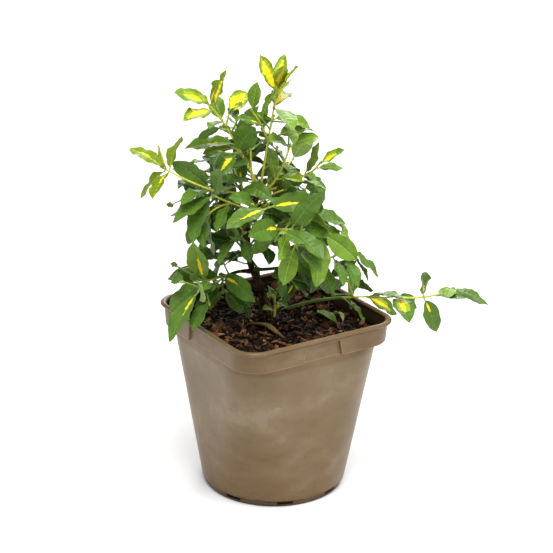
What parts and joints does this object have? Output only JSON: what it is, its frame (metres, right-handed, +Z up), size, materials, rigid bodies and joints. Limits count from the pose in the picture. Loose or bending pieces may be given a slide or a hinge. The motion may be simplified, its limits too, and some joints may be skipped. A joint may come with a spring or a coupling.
{
  "type": "potted wintercreeper shrub",
  "caption": "Young variegated evergreen shrub with a branching stem, leafy shoots and one long runner, standing in a square-rimmed nursery pot of bark mulch",
  "frame": {"origin": "middle of the pot's flat underside", "axes": "+Z up along the pot's axis; +X to the plant's right and -Y towards the viewer when it is seen from its front"},
  "size_m": [0.3401, 0.2285, 0.4214],
  "materials": {
    "pot": "smooth taupe recycled plastic with a soft sheen, a little stained near the foot",
    "soil": "damp dark brown bark mulch of chips and fibres",
    "bark": "dark brown bark with fine lengthwise cracks",
    "greenwood": "smooth yellow-green young stem",
    "foliage": "glossy green leaves with yellow blotches on green twigs"
  },
  "bodies": {
    "root": {"pot": "pot", "soil": "soil", "trunk": "bark", "leader": "bark", "left_bough": "bark", "right_bough": "greenwood", "second_stem": "greenwood", "runner_limb": "greenwood", "upper_right_shoot": "foliage", "top_shoot": "foliage", "top_left_shoot": "foliage", "left_shoot": "foliage", "right_shoot": "foliage", "front_right_shoot": "foliage", "front_left_shoot": "foliage", "right_mid_shoot": "foliage", "left_mid_shoot": "foliage", "left_centre_shoot": "foliage", "left_low_shoot": "foliage", "lower_right_shoot": "foliage", "runner_shoot": "foliage", "basal_shoot": "foliage", "low_centre_shoot": "foliage", "inner_top_shoot": "foliage", "inner_left_shoot": "foliage", "inner_right_shoot": "foliage", "inner_low_shoot": "foliage", "back_top_shoot": "foliage", "back_right_shoot": "foliage", "back_left_shoot": "foliage", "back_low_shoot": "foliage", "back_low_left_shoot": "foliage", "back_low_right_shoot": "foliage", "middle_shoot": "foliage"}
  },
  "joints": []
}
